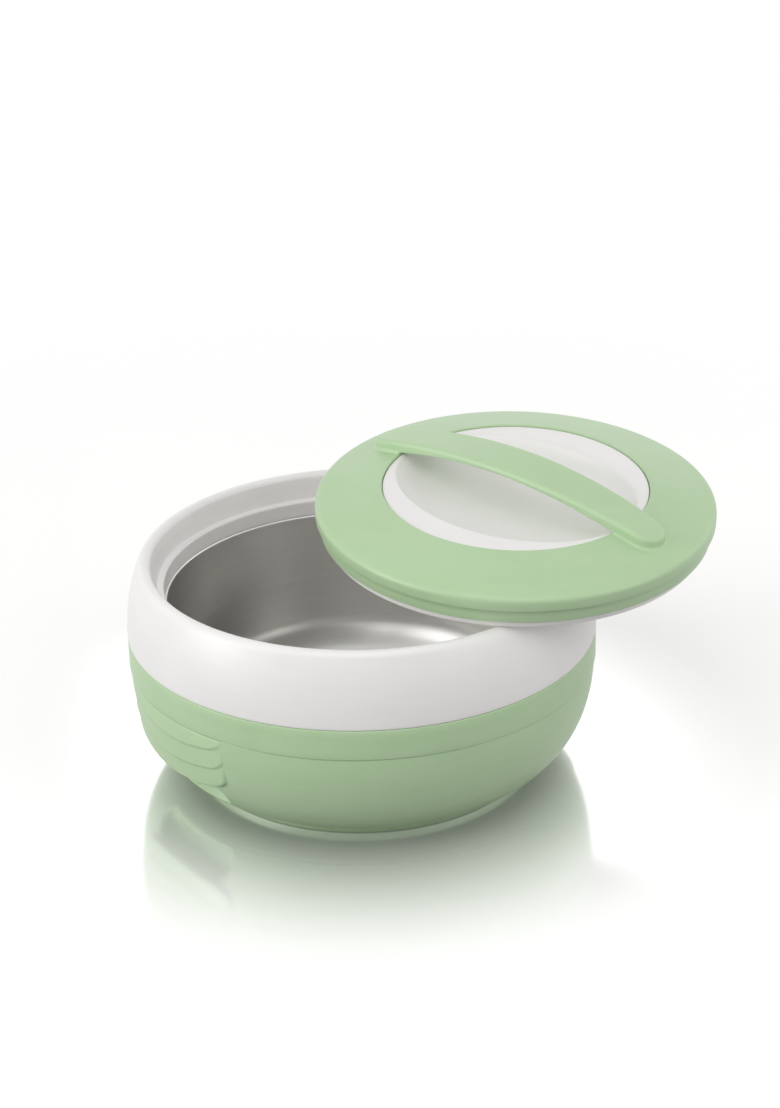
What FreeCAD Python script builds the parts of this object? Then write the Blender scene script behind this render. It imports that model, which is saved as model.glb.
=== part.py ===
"""Insulated chapati casserole: a foam-filled double-walled bowl with a lift-off lid.

Units are millimetres, +Z is up and the origin is the centre of the foot ring on the table.
Every piece is a separate solid. The lid is drawn in its own frame, whose zero is the centre of
its shoulder, and is then placed as it lies: taken off, leaning on the rim over the right side.
"""
import FreeCAD, Part
import math
import os
from FreeCAD import Placement, Rotation, Vector

# General sizes
piece_gap = 0.2            # clearance between moulded pieces that stay together
foam_gap = 0.3             # clearance between the foam and the shells around it
shell_wall = 2.6           # wall of the outer shell and the collar
edge_break = 0.5           # small rounding or bevel along a moulded edge

# Foot and bowl of the outer shell
foot_radius = 87.2
foot_height = 4.5
foot_width = 3.4           # radial width of the ring that touches the table
bowl_start = 1.6           # how far the bowl's underside starts outside the foot ring
bowl_turn_run = 15.0       # the bowl leaves the foot in this direction: outwards
bowl_turn_rise = 3.5       # and upwards
bowl_fullness = 0.46       # how low on the bowl its side turns upright
belly_radius = 118.4
groove_height = 58.0       # height of the shadow line below the upper band
band_step = 0.7            # how far the upper band stands out over the bowl
seam_height = 74.0         # where the green shell ends and the white collar begins
tongue_depth = 6.0         # how deep the collar plugs into the shell
tongue_wall = 2.0

# White collar with its rolled rim
rim_height = 111.5
rim_inset = 9.7            # the rim's crest lies this far inside the upper band
rim_half_width = 3.6
rim_roll_drop = 3.4        # height of the roll on either side of the crest
ledge_height = 98.8
ledge_inset = 2.8          # the inner wall leans in this far from the roll to the ledge
ledge_width = 3.4
lip_depth = 8.4            # the collar reaches this far below the ledge, down to the steel bowl
lip_draft = 0.4

# Stainless steel inner bowl
steel_wall = 0.7
bowl_floor_height = 14.0
bowl_corner_radius = 20.0
bowl_draft = 5.0           # how much smaller the bowl is at its corner than at its mouth
bowl_flange = 4.0          # flat rim that is held under the collar
bowl_bead = 0.9            # radius of the bead around the bowl's mouth

# Grips at the two sides
grip_azimuth = 215.0
grip_half_angle = 20.0
grip_lines = (47.5, 36.5, 25.0)    # height of each terrace's lower edge at the grip's middle
grip_rise = 5.6                    # how much each lower edge rises towards the grip's ends
grip_start_out = 0.1               # the grip's face starts this far outside the bowl, at the groove
grip_swell = 2.0                   # pull of the face outwards below the groove
grip_foot_draw = 1.4               # how far the face is drawn in again at its foot
grip_terrace_step = 0.9            # each lower terrace stands back this far
grip_corner_radius = 4.5
grip_edge_round = 0.7
scoop_radius = 8.0                 # finger hollow under the grip
scoop_height = 19.5
scoop_inset = 6.6                  # from the grip's lowest edge in to the hollow's centre
scoop_half_angle = 13.0

# Foam filling holes and their plugs
plug_radius = 7.0
plug_head_radius = 10.0
plug_head_height = 1.2

# Lid cover: ring with the bridge handle
lid_overhang = 1.0         # how far the lid's shoulder reaches over the collar's ledge
lid_seat_gap = 0.7         # running gap between the lid's skirt and the collar's lip
ring_width = 33.6          # radial width of the cover's ring, from the opening to the shoulder
dome_height = 8.0          # the opening's edge stands this far over the shoulder
cover_wall = 2.2
shoulder_round = 2.6
shoulder_depth = 7.0
skirt_depth = 14.0         # the skirt's lower edge below the shoulder's top
skirt_draft = 0.7

# Bridge handle over the opening
handle_azimuth = 140.0
handle_end_inset = 12.3    # the handle's tips lie this far inside the shoulder
handle_width = 26.0
handle_end_radius = 9.7
handle_crown = 13.7        # top of the arch over the opening's edge
handle_sag = 8.1           # the arch's top drops this much at handle_sag_at from the middle
handle_sag_at = 70.0
handle_thickness = 3.7     # at the middle
handle_top_round = 2.2
handle_under_round = 1.0

# White dish under the handle
dish_gap = 0.3             # between the dish and the edge of the cover's opening
dish_drop = 0.8            # the dish lies this much below the opening's edge
dish_wall = 1.8
dish_flange = 5.0          # how far the dish reaches under the cover
recess_end_inset = 2.5     # from the opening's edge to the recess's ends
recess_side_inset = 17.0   # and to its sides
recess_depth = 14.0

# White liner that plugs into the bowl
liner_depth = 18.5
liner_wall = 1.8
liner_corner = 2.0
liner_recess = 2.5
liner_rim_width = 11.8     # radial width of the liner's lower rim
liner_tongue = 5.0         # how far the liner reaches up inside the skirt

# Where the lid lies
lid_centre = (78.3, 5.0, 137.45)
lid_tilt_front = 4.5       # degrees, front edge down
lid_tilt_right = 0.85      # degrees, right edge down

AXIS_START = Vector(0, 0, 0)
UP = Vector(0, 0, 1)


# Sizes that follow from the ones above
band_radius = belly_radius + band_step
shell_floor = foot_height + shell_wall
rim_radius = band_radius - rim_inset
ledge_outer_radius = rim_radius - rim_half_width - ledge_inset
ledge_inner_radius = ledge_outer_radius - ledge_width
lip_height = ledge_height - lip_depth
lip_radius = ledge_inner_radius - lip_draft
lid_radius = ledge_inner_radius + lid_overhang
skirt_radius = ledge_inner_radius - lid_seat_gap
skirt_end_radius = skirt_radius - skirt_draft
liner_radius = skirt_end_radius - cover_wall - piece_gap
liner_recess_radius = liner_radius - liner_rim_width
opening_radius = lid_radius - ring_width
cover_slope = dome_height / (ring_width - shoulder_round)
handle_length = 2 * (lid_radius - handle_end_inset)
recess_half_length = opening_radius - recess_end_inset
recess_half_width = opening_radius - recess_side_inset


def point(radius, height):
    """A point of a profile in the XZ plane."""
    return Vector(radius, 0, height)


def inset_points(points, distance):
    """Move an open control polygon sideways, to the right of its direction of travel."""
    normals = []
    for (r0, z0), (r1, z1) in zip(points, points[1:]):
        length = math.hypot(r1 - r0, z1 - z0)
        normals.append(((z1 - z0) / length, (r0 - r1) / length))
    moved = []
    for index, (r, z) in enumerate(points):
        before = normals[max(index - 1, 0)]
        after = normals[min(index, len(normals) - 1)]
        sum_r = before[0] + after[0]
        sum_z = before[1] + after[1]
        scale = 2 * distance / (sum_r ** 2 + sum_z ** 2)
        moved.append((r + sum_r * scale, z + sum_z * scale))
    return moved


def curve_edges(points, pattern):
    """Edges along a control polygon: L is a line, Q and C are curves of second and third degree."""
    edges = []
    start = 0
    for kind in pattern:
        step = {"L": 1, "Q": 2, "C": 3}[kind]
        poles = [point(*p) for p in points[start:start + step + 1]]
        if kind == "L":
            edges.append(Part.LineSegment(*poles).toShape())
        else:
            curve = Part.BezierCurve()
            curve.setPoles(poles)
            edges.append(curve.toShape())
        start += step
    return edges


def closed_profile(chains):
    """A face bounded by chains of (points, pattern) that are joined by straight lines."""
    edges = []
    for number, (points, pattern) in enumerate(chains):
        edges += curve_edges(points, pattern)
        following = chains[(number + 1) % len(chains)][0][0]
        if math.dist(points[-1], following) > 1e-6:
            edges.append(Part.LineSegment(point(*points[-1]), point(*following)).toShape())
    return Part.Face(Part.Wire(edges))


def polygon(points):
    """One chain of straight lines through the points."""
    return points, "L" * (len(points) - 1)


def turned(face, angle=360.0):
    """Solid of revolution about the vertical axis."""
    return face.revolve(AXIS_START, UP, angle)


def turned_from(chains, angle=360.0):
    """Solid of revolution from profile chains."""
    return turned(closed_profile(chains), angle)


def turned_in_halves(chains):
    """Solid of revolution joined from two halves that meet across the Y axis, so that no seam
    runs under a handle that lies along X."""
    half = turned_from(chains, 180.0)
    return spun(half, 90.0).fuse(spun(half, 270.0))


def reverse(points, pattern):
    """The same chain in the other direction."""
    return points[::-1], pattern[::-1]


def spun(shape, degrees):
    """A copy turned about the vertical axis."""
    copy = shape.copy()
    copy.rotate(AXIS_START, UP, degrees)
    return copy


# Base
def bowl_skin(inset=0.0):
    """Round side of the outer shell from the foot up to the groove."""
    start = foot_radius + bowl_start
    skin = [(start, foot_height + edge_break),
            (start + bowl_turn_run, foot_height + bowl_turn_rise),
            (belly_radius, groove_height * bowl_fullness),
            (belly_radius, groove_height)]
    return inset_points(skin, -inset) if inset else skin


def collar_skin():
    """Visible side of the collar: outer wall, rolled rim, inner wall, ledge and lip."""
    outer_roll = rim_radius + rim_half_width
    inner_roll = rim_radius - rim_half_width
    return [(band_radius, seam_height + edge_break),
            (band_radius + 0.2, seam_height + 14.0),
            (outer_roll + 3.4, rim_height - 11.4),
            (outer_roll, rim_height - rim_roll_drop),
            (outer_roll - 1.2, rim_height),
            (rim_radius, rim_height),
            (inner_roll + 0.9, rim_height),
            (inner_roll, rim_height - rim_roll_drop + 1.2),
            (ledge_outer_radius, ledge_height + 1.2),
            (ledge_outer_radius - 0.3, ledge_height),
            (ledge_inner_radius + 0.6, ledge_height - 0.1),
            (ledge_inner_radius, ledge_height - 0.7),
            (lip_radius, lip_height)]


COLLAR_PATTERN = "CQQLLLLL"


def collar_back(inset):
    """Hidden side of the collar: the visible side without its small bevels, moved inwards."""
    skin = collar_skin()
    corners = [(ledge_outer_radius, ledge_height), (ledge_inner_radius, ledge_height - 0.1)]
    back = inset_points(skin[:8] + corners + skin[-1:], -inset)
    back[0] = (band_radius - shell_wall - piece_gap - tongue_wall, seam_height + 1.0)
    back[-1] = (back[-1][0], lip_height)
    return back


COLLAR_BACK_PATTERN = "CQQLLL"


def grip_outline(lower_edge, depth_in, depth_out):
    """Block behind a terrace's outline: a sagging lower edge with round corners, seen from outside."""
    half = band_radius * math.sin(math.radians(grip_half_angle))
    arc_radius = (half ** 2 + grip_rise ** 2) / (2 * grip_rise)
    sag_centre = lower_edge + arc_radius
    disc = Part.makeCylinder(arc_radius, depth_out - depth_in,
                             Vector(depth_in, 0, sag_centre), Vector(1, 0, 0))
    tall = groove_height + band_step - lower_edge + arc_radius
    block = Part.makeBox(depth_out - depth_in, 2 * half, tall,
                         Vector(depth_in, -half, groove_height + band_step - tall))
    outline = disc.common(block)
    corners = [edge for edge in outline.Edges
               if abs(edge.BoundBox.XLength - (depth_out - depth_in)) < 1e-6
               and edge.BoundBox.YLength < 1e-6 and edge.BoundBox.ZMax < groove_height]
    return outline.makeFillet(grip_corner_radius, corners)


def grip_profile(number):
    """Face of one terrace seen from the side: it swells below the groove and draws in at the foot."""
    back = number * grip_terrace_step
    return [(belly_radius + grip_start_out - back, groove_height),
            (belly_radius + grip_swell - back, (groove_height + grip_lines[-1]) / 2),
            (belly_radius - grip_foot_draw - back, grip_lines[-1] - edge_break)]


def grip_terraces():
    """Three nested terraces of one grip, on the +X side, each with a rounded edge."""
    block_start = belly_radius * 0.8
    terraces = None
    for number, lower_edge in enumerate(grip_lines):
        face = grip_profile(number)
        disc = turned_from([(face, "Q"), polygon([(0, face[-1][1]), (0, groove_height)])])
        disc = spun(disc, 180.0)       # its seam goes to the back
        terrace = disc.common(grip_outline(lower_edge, block_start, belly_radius + 10.0))
        front = max(terrace.Faces, key=lambda part_of: part_of.CenterOfMass.x)
        edges = [edge for edge in front.Edges if edge.BoundBox.ZMin < groove_height - 1e-3]
        terrace = terrace.makeFillet(grip_edge_round, edges)
        terraces = terrace if terraces is None else terraces.fuse(terrace)
    return terraces


def grip_scoop(extra=0.0):
    """Finger hollow under one grip, on the +X side: part of a ring with round ends."""
    lowest_edge = grip_profile(len(grip_lines) - 1)[-1][0]
    centre = point(lowest_edge - scoop_inset, scoop_height)
    radius = scoop_radius + extra
    circle = Part.Circle(centre, Vector(0, 1, 0), radius).toShape()
    ring = turned(Part.Face(Part.Wire(circle)), 2 * scoop_half_angle)
    scoop = spun(ring, -scoop_half_angle)
    for side in (-scoop_half_angle, scoop_half_angle):
        scoop = scoop.fuse(spun(Part.makeSphere(radius, centre), side))
    return scoop


def at_both_grips(shape):
    """The shape at the two opposite grips, as one compound for a boolean."""
    return [spun(shape, grip_azimuth), spun(shape, grip_azimuth + 180.0)]


def shell_cavity(extra=0.0):
    """Space inside the outer shell, smaller by extra on every side."""
    inner_radius = band_radius - shell_wall - extra
    side = bowl_skin(shell_wall + extra)
    top = (inner_radius, seam_height + shell_wall)
    cavity = turned_from([polygon([(0, shell_floor + extra), (side[0][0], shell_floor + extra)]),
                          (side, "C"),
                          polygon([(inner_radius, groove_height + band_step), top, (0, top[1])])])
    return cavity.cut(at_both_grips(grip_scoop(shell_wall + extra)))


def outer_shell():
    """Green outer shell with its foot ring, upper band and two grips."""
    foot_inner = foot_radius - foot_width
    skin = bowl_skin()
    body = turned_from([
        polygon([(0, foot_height), (foot_inner - edge_break, foot_height), (foot_inner, edge_break),
                 (foot_inner + edge_break, 0), (foot_radius - edge_break, 0),
                 (foot_radius, edge_break), (foot_radius, foot_height)]),
        (skin, "C"),
        polygon([(belly_radius, groove_height + 0.2), (band_radius, groove_height + band_step),
                 (band_radius, seam_height - edge_break), (band_radius - edge_break, seam_height),
                 (0, seam_height)])])
    grips = at_both_grips(grip_terraces())
    body = body.fuse(grips).cut(at_both_grips(grip_scoop()))
    body = body.cut(shell_cavity())
    return body.cut(Part.makeCylinder(plug_radius, shell_floor)).removeSplitter()


def collar():
    """White collar: outer wall, rolled rim, ledge for the lid and lip over the steel bowl."""
    tongue_outer = band_radius - shell_wall - piece_gap
    tongue_inner = tongue_outer - tongue_wall
    tongue_foot = seam_height - tongue_depth
    return turned_from([(collar_skin(), COLLAR_PATTERN),
                        reverse(collar_back(shell_wall), COLLAR_BACK_PATTERN),
                        polygon([(tongue_inner, tongue_foot), (tongue_outer, tongue_foot),
                                 (tongue_outer, seam_height + piece_gap / 2),
                                 (band_radius - edge_break, seam_height + piece_gap / 2)])])


def steel_skin(inset=0.0):
    """Inside of the steel bowl from its mouth down to the floor's edge."""
    mouth = lip_radius - bowl_bead
    corner = mouth - bowl_draft
    corner_top = bowl_floor_height + bowl_corner_radius
    bend = bowl_corner_radius * 0.45
    skin = [(mouth, lip_height - bowl_bead - 0.5),
            (corner, corner_top),
            (corner - bowl_draft / 10, corner_top - bowl_corner_radius + bend),
            (corner - bowl_corner_radius + bend, bowl_floor_height),
            (corner - bowl_corner_radius, bowl_floor_height)]
    return inset_points(skin, inset) if inset else skin


STEEL_PATTERN = "LC"


def inner_bowl():
    """Stainless steel bowl: drawn wall, round corner, bead and flange."""
    skin = steel_skin()
    back = steel_skin(-steel_wall)
    flange_top = lip_height - piece_gap / 2
    flange_outer = lip_radius + bowl_flange
    mouth = skin[0]
    inner = [(0, bowl_floor_height)] + skin[::-1]
    rim = [(mouth[0] + 0.1, flange_top - 0.5), (lip_radius - 0.2, flange_top),
           (flange_outer, flange_top), (flange_outer, flange_top - steel_wall)]
    outer = [(back[0][0] + 0.4, flange_top - steel_wall)] + back
    return turned_from([(inner, "L" + STEEL_PATTERN[::-1]),
                        polygon(rim),
                        (outer, "L" + STEEL_PATTERN),
                        polygon([(back[-1][0], bowl_floor_height - steel_wall),
                                 (0, bowl_floor_height - steel_wall)])])


def base_insulation():
    """Foam that fills the space between the shell, the collar and the steel bowl."""
    hollow = collar_back(shell_wall + foam_gap)
    tongue_inner = band_radius - shell_wall - piece_gap - tongue_wall - foam_gap
    tongue_foot = seam_height - tongue_depth - foam_gap
    hollow[0] = (tongue_inner, seam_height + 1.0)
    flange_outer = lip_radius + bowl_flange + foam_gap
    flange_foot = lip_height - piece_gap / 2 - steel_wall - foam_gap
    hollow[-1] = (hollow[-1][0], lip_height + foam_gap)
    back = steel_skin(-(steel_wall + foam_gap))
    back[0] = (back[0][0] + 0.4, flange_foot)
    floor = bowl_floor_height - steel_wall - foam_gap
    plug_top = shell_floor + foam_gap
    side = bowl_skin(shell_wall + foam_gap)
    outer_radius = band_radius - shell_wall - foam_gap
    foam = turned_from([
        polygon([(0, plug_top), (side[0][0], plug_top)]),
        (side, "C"),
        polygon([(outer_radius, groove_height + band_step), (outer_radius, tongue_foot),
                 (tongue_inner, tongue_foot)]),
        (hollow, COLLAR_BACK_PATTERN),
        polygon([(flange_outer, lip_height + foam_gap), (flange_outer, flange_foot)]),
        (back, STEEL_PATTERN),
        polygon([(back[-1][0], floor), (0, floor)])])
    return foam.cut(at_both_grips(grip_scoop(shell_wall + foam_gap)))


def fill_plug(seat_height, wall):
    """Plug with a flat head that closes a foam filling hole, its head facing down."""
    stem = Part.makeCylinder(plug_radius - piece_gap, wall, Vector(0, 0, seat_height))
    head = Part.makeCylinder(plug_head_radius, plug_head_height,
                             Vector(0, 0, seat_height - plug_head_height))
    lower = [edge for edge in head.Edges if abs(edge.BoundBox.ZMax - head.BoundBox.ZMin) < 1e-6]
    return head.makeFillet(edge_break, lower).fuse(stem)


# Lid, in its own frame
def cover_skin(inset=0.0):
    """Upper side of the cover from the opening's edge out over the shoulder."""
    shoulder_top = shoulder_round * 0.25
    skin = [(opening_radius, dome_height),
            (opening_radius + 11.0, dome_height - 11.0 * cover_slope * 0.8),
            (lid_radius - shoulder_round - 8.0, shoulder_top + 8.0 * cover_slope * 1.15),
            (lid_radius - shoulder_round, shoulder_top),
            (lid_radius, -shoulder_round * 0.1),
            (lid_radius, -shoulder_round)]
    return inset_points(skin, inset) if inset else skin


COVER_PATTERN = "CQ"


def cover_hollow(extra=0.0):
    """Profile of the space under the cover, smaller by extra on every side, down to the skirt."""
    under = cover_skin(cover_wall + extra)
    under[0] = (opening_radius - dish_flange, under[0][1] + dish_flange * cover_slope * 0.8)
    wall_radius = skirt_radius - cover_wall - extra
    under[-3] = (wall_radius - shoulder_round, under[-3][1])
    under[-2] = (wall_radius, under[-2][1])
    under[-1] = (wall_radius, -shoulder_depth)
    return [(under, COVER_PATTERN),
            polygon([(skirt_end_radius - cover_wall - extra, -skirt_depth),
                     (0, -skirt_depth), (0, under[0][1])])]


def handle_plan():
    """Outline of the handle seen from above: two long arcs and round ends, its length along X."""
    half_width = handle_width / 2
    end_centre = handle_length / 2 - handle_end_radius
    side_radius = ((end_centre ** 2 + half_width ** 2 - handle_end_radius ** 2)
                   / (2 * (half_width - handle_end_radius)))
    slope = math.atan2(side_radius - half_width, end_centre)
    meet_x = end_centre + handle_end_radius * math.cos(slope)
    meet_y = handle_end_radius * math.sin(slope)
    side = Part.Arc(Vector(-meet_x, meet_y, 0), Vector(0, half_width, 0), Vector(meet_x, meet_y, 0))
    end = Part.Arc(Vector(meet_x, meet_y, 0), Vector(handle_length / 2, 0, 0),
                   Vector(meet_x, -meet_y, 0))
    edges = [side.toShape(), end.toShape()]
    edges += [spun(edge, 180.0) for edge in edges]
    return Part.Face(Part.Wire(Part.__sortEdges__(edges)))


def arched_block(crown, drop, reach):
    """Block across the handle whose arched top is at crown and lies drop lower at reach."""
    radius = (reach ** 2 + drop ** 2) / (2 * drop)
    end = handle_length * 0.55
    end_height = crown - radius + math.sqrt(radius ** 2 - end ** 2)
    back = -handle_width
    corners = [Vector(end, back, end_height), Vector(end, back, -lid_radius),
               Vector(-end, back, -lid_radius), Vector(-end, back, end_height)]
    edges = [Part.LineSegment(a, b).toShape() for a, b in zip(corners, corners[1:])]
    edges.append(Part.Arc(corners[-1], Vector(0, back, crown), corners[0]).toShape())
    return Part.Face(Part.Wire(edges)).extrude(Vector(0, 2 * handle_width, 0))


def bridge_handle():
    """Arched bridge handle that springs from the two sides of the opening."""
    crown = dome_height + handle_crown
    bar = handle_plan().extrude(Vector(0, 0, crown + 1.0))
    bar = bar.common(arched_block(crown, handle_sag, handle_sag_at))
    top = max(bar.Faces, key=lambda face: face.CenterOfMass.z)
    bar = bar.makeFillet(handle_top_round, top.Edges)
    return bar.cut(arched_block(crown - handle_thickness, handle_crown - handle_thickness,
                                opening_radius))


def lid_cover():
    """Green lid cover: domed ring, stepped shoulder, skirt and bridge handle in one moulding."""
    outside = turned_in_halves([
        (cover_skin(), COVER_PATTERN),
        polygon([(lid_radius, -shoulder_depth + edge_break), (lid_radius - edge_break, -shoulder_depth),
                 (skirt_radius, -shoulder_depth), (skirt_end_radius, -skirt_depth),
                 (opening_radius, -skirt_depth)])])
    hollow = turned_in_halves(cover_hollow())
    cover = outside.cut(hollow).fuse(bridge_handle().cut(hollow)).removeSplitter()
    underside = [edge for edge in cover.Edges
                 if edge.BoundBox.XLength > opening_radius and edge.BoundBox.YLength < handle_width / 4
                 and edge.BoundBox.ZMin > dome_height * 0.7
                 and edge.BoundBox.ZMax < dome_height + handle_crown - handle_thickness + 0.1]
    return spun(cover.makeFillet(handle_under_round, underside), handle_azimuth)


def recess(extra=0.0):
    """Oval bowl under the handle, larger by extra, with its brim at the dish's top."""
    ball = Part.makeSphere(1.0)
    stretch = FreeCAD.Matrix()
    stretch.scale(recess_half_length + extra, recess_half_width + extra, recess_depth + extra)
    oval = ball.transformGeometry(stretch)
    oval.translate(Vector(0, 0, dome_height - dish_drop))
    return spun(oval, handle_azimuth)


def lid_dish():
    """White dish that shows in the cover's opening, with the finger recess under the handle."""
    top = dome_height - dish_drop
    face_radius = opening_radius - dish_gap
    flange_radius = opening_radius + dish_flange
    flange_top = cover_flange_height() - piece_gap
    plate = turned_from([polygon([
        (0, top), (face_radius - edge_break, top), (face_radius, top - edge_break),
        (face_radius, flange_top), (flange_radius, flange_top),
        (flange_radius, flange_top - dish_wall), (0, flange_top - dish_wall)])])
    lower_half = Part.makeCylinder(opening_radius, 2 * recess_depth,
                                   Vector(0, 0, top - 2 * recess_depth))
    shell = recess(dish_wall).common(lower_half)
    return plate.fuse(shell).cut(recess()).removeSplitter()


def cover_flange_height():
    """Height of the cover's underside where the dish's flange ends."""
    under = cover_skin(cover_wall)[0]
    return under[1] - dish_flange * cover_slope


def lid_liner():
    """White liner under the lid: a shallow pan that plugs into the steel bowl."""
    foot = -liner_depth
    tongue_inner = liner_radius - liner_wall
    tongue_top = -skirt_depth + liner_tongue
    corner = liner_corner * 0.45
    floor = foot + liner_recess
    pan = turned_from([
        polygon([(0, floor), (liner_recess_radius - liner_recess, floor), (liner_recess_radius, foot)]),
        ([(liner_radius - liner_corner, foot), (liner_radius - corner, foot),
          (liner_radius, foot + corner), (liner_radius, foot + liner_corner)], "C"),
        polygon([(liner_radius, tongue_top), (tongue_inner, tongue_top),
                 (tongue_inner, foot + liner_wall + liner_corner),
                 (tongue_inner - liner_corner, foot + liner_wall),
                 (liner_recess_radius + liner_wall / 2, foot + liner_wall),
                 (liner_recess_radius - liner_recess, floor + liner_wall), (0, floor + liner_wall)])])
    return pan.cut(Part.makeCylinder(plug_radius, 2 * liner_depth, Vector(0, 0, -2 * liner_depth)))


def lid_insulation():
    """Foam between the cover, the dish and the liner."""
    tongue_inner = liner_radius - liner_wall - foam_gap
    tongue_top = -skirt_depth + liner_tongue
    floor = -liner_depth + liner_wall + foam_gap
    middle_floor = floor + liner_recess
    upper = turned_from(cover_hollow(foam_gap))
    below_tongue = Part.makeCylinder(tongue_inner, skirt_depth + dome_height,
                                     Vector(0, 0, -skirt_depth))
    above_tongue = Part.makeCylinder(lid_radius, skirt_depth + dome_height,
                                     Vector(0, 0, tongue_top + foam_gap))
    upper = upper.common(below_tongue.fuse(above_tongue))
    lower = turned_from([polygon([
        (0, middle_floor), (liner_recess_radius - liner_recess, middle_floor),
        (liner_recess_radius + liner_wall, floor), (tongue_inner - liner_corner, floor),
        (tongue_inner, floor + liner_corner), (tongue_inner, -skirt_depth), (0, -skirt_depth)])])
    dish_space = Part.makeCylinder(opening_radius + dish_flange + foam_gap, dome_height + skirt_depth,
                                   Vector(0, 0, cover_flange_height() - dish_wall - foam_gap))
    foam = upper.fuse(lower).cut(dish_space)
    return foam.cut(recess(dish_wall + foam_gap)).removeSplitter()


def placed_lid(shape):
    """A lid piece where it lies on the rim."""
    tilt = Rotation(Vector(0, 1, 0), lid_tilt_right).multiply(Rotation(Vector(1, 0, 0), lid_tilt_front))
    lying = shape.copy()
    lying.Placement = Placement(Vector(*lid_centre), tilt).multiply(lying.Placement)
    return lying


def main():
    os.makedirs("parts", exist_ok=True)
    base = {
        "outer_shell": outer_shell(),
        "collar": collar(),
        "inner_bowl": inner_bowl(),
        "base_insulation": base_insulation(),
        "base_fill_plug": fill_plug(foot_height, shell_wall),
    }
    lid = {
        "lid_cover": lid_cover(),
        "lid_dish": lid_dish(),
        "lid_liner": lid_liner(),
        "lid_insulation": lid_insulation(),
        "lid_fill_plug": fill_plug(-liner_depth + liner_recess, liner_wall),
    }
    pieces = dict(base)
    pieces.update({name: placed_lid(shape) for name, shape in lid.items()})
    for name, shape in pieces.items():
        print(name, shape.isValid(), len(shape.Solids), round(shape.Volume / 1000, 1), "cm3")
        shape.exportStep("parts/" + name + ".step")


main()
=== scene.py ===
"""Insulated chapati casserole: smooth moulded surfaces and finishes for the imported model.

Sizes are in millimetres until a mesh is made, which is in metres. Every surface is a profile or a
function of two parameters, worked out as whole arrays. The lid's pieces are worked out about the
lid's own centre and then laid on the rim, so every finished object sits at the origin.
"""
from __future__ import annotations

import logging
import math
from dataclasses import dataclass
from enum import Enum
from typing import Any

import bmesh
import bpy
import numpy as np
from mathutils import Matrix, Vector

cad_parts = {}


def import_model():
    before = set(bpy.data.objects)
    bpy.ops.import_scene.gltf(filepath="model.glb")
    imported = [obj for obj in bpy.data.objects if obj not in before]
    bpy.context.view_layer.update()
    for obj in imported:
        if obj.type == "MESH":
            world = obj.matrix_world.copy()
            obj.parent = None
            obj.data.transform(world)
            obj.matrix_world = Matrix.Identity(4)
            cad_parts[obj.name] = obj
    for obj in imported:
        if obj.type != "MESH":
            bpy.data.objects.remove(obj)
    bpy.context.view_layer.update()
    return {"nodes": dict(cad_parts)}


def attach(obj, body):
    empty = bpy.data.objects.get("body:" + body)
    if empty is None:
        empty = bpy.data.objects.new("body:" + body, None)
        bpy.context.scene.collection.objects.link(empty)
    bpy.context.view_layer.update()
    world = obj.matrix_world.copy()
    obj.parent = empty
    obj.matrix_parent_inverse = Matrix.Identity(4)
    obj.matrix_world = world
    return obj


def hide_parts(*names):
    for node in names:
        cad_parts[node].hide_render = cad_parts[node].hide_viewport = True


MM = 0.001
MERGE = 0.00002            # metres within which doubled vertices are joined
SLIVER = 0.000005          # metres under which an edge is dissolved
Colour = tuple[float, float, float, float]
Point = tuple[float, float, float]
log = logging.getLogger("casserole")


class Finish(Enum):
    """Finishes that the pieces are made in, one material each."""

    GREEN = "green_plastic"
    WHITE = "white_plastic"
    STEEL = "steel"
    FOAM = "foam"


class Body(Enum):
    """Bodies that the pieces ride on."""

    BASE = "base"
    LID = "lid"


class Ends(Enum):
    """How a surface closes at the first and last rows of its grid."""

    ROUND = "the last row meets the first"
    POLES = "each row closes on a pole"
    FOLDED = "each row folds on to a middle line, where merging closes it"


# Shader maths

class Field:
    """A shader socket that takes part in arithmetic."""

    def __init__(self, graph: Graph, socket: bpy.types.NodeSocket) -> None:
        """Wraps a socket of the given graph."""
        self.graph = graph
        self.socket = socket

    def maths(self, operation: str, *values: Any) -> Field:
        """Adds one Math node.

        Args:
            operation: the node's operation.
            values: its inputs in order, as sockets or numbers.

        Returns:
            The node's result.
        """
        node = self.graph.node("Math", dict(enumerate(values)), operation=operation)
        return Field(self.graph, node.outputs[0])

    def __add__(self, other: Any) -> Field:
        """Sum."""
        return self.maths("ADD", self, other)

    __radd__ = __add__

    def __mul__(self, other: Any) -> Field:
        """Product."""
        return self.maths("MULTIPLY", self, other)

    __rmul__ = __mul__

    def __sub__(self, other: Any) -> Field:
        """Difference."""
        return self.maths("SUBTRACT", self, other)

    def __rsub__(self, other: Any) -> Field:
        """Difference with the value on the left."""
        return self.maths("SUBTRACT", other, self)

    def __pow__(self, other: Any) -> Field:
        """Power."""
        return self.maths("POWER", self, other)

    def ramp(self, low: float, high: float) -> Field:
        """Smooth rise from 0 at low to 1 at high.

        Args:
            low: value at which the rise starts.
            high: value at which it ends.

        Returns:
            The risen value.
        """
        node = self.graph.node("MapRange", {0: self, 1: low, 2: high},
                               interpolation_type="SMOOTHSTEP")
        return Field(self.graph, node.outputs[0])


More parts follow.
